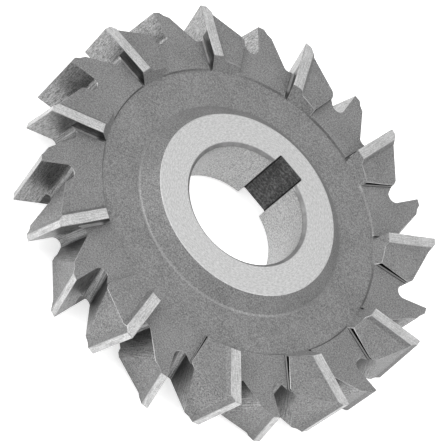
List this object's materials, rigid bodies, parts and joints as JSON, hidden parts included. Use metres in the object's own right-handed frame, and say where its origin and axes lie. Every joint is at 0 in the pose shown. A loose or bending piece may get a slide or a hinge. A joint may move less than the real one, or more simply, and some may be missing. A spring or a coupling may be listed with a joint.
{
  "type": "side milling cutter",
  "caption": "Staggered-tooth side and face milling cutter with a keyed arbor bore, a ground hub ring, recessed faces and side teeth that lean alternately.",
  "frame": {"origin": "on the axis of the bore, in the middle of the cutter's width", "axes": "+Z along the bore axis, out of the pictured face; +Y from the axis through the middle of the keyway; +X across it, right-handed. Seen from +Z the teeth cut counter-clockwise"},
  "size_m": [0.11, 0.1098, 0.018],
  "materials": {
    "tool_steel": "fine matt blasted body, with bright ground tooth lands, hub ring, rake faces and bore"
  },
  "bodies": {
    "root": {"milling_cutter": "tool_steel"}
  },
  "joints": []
}
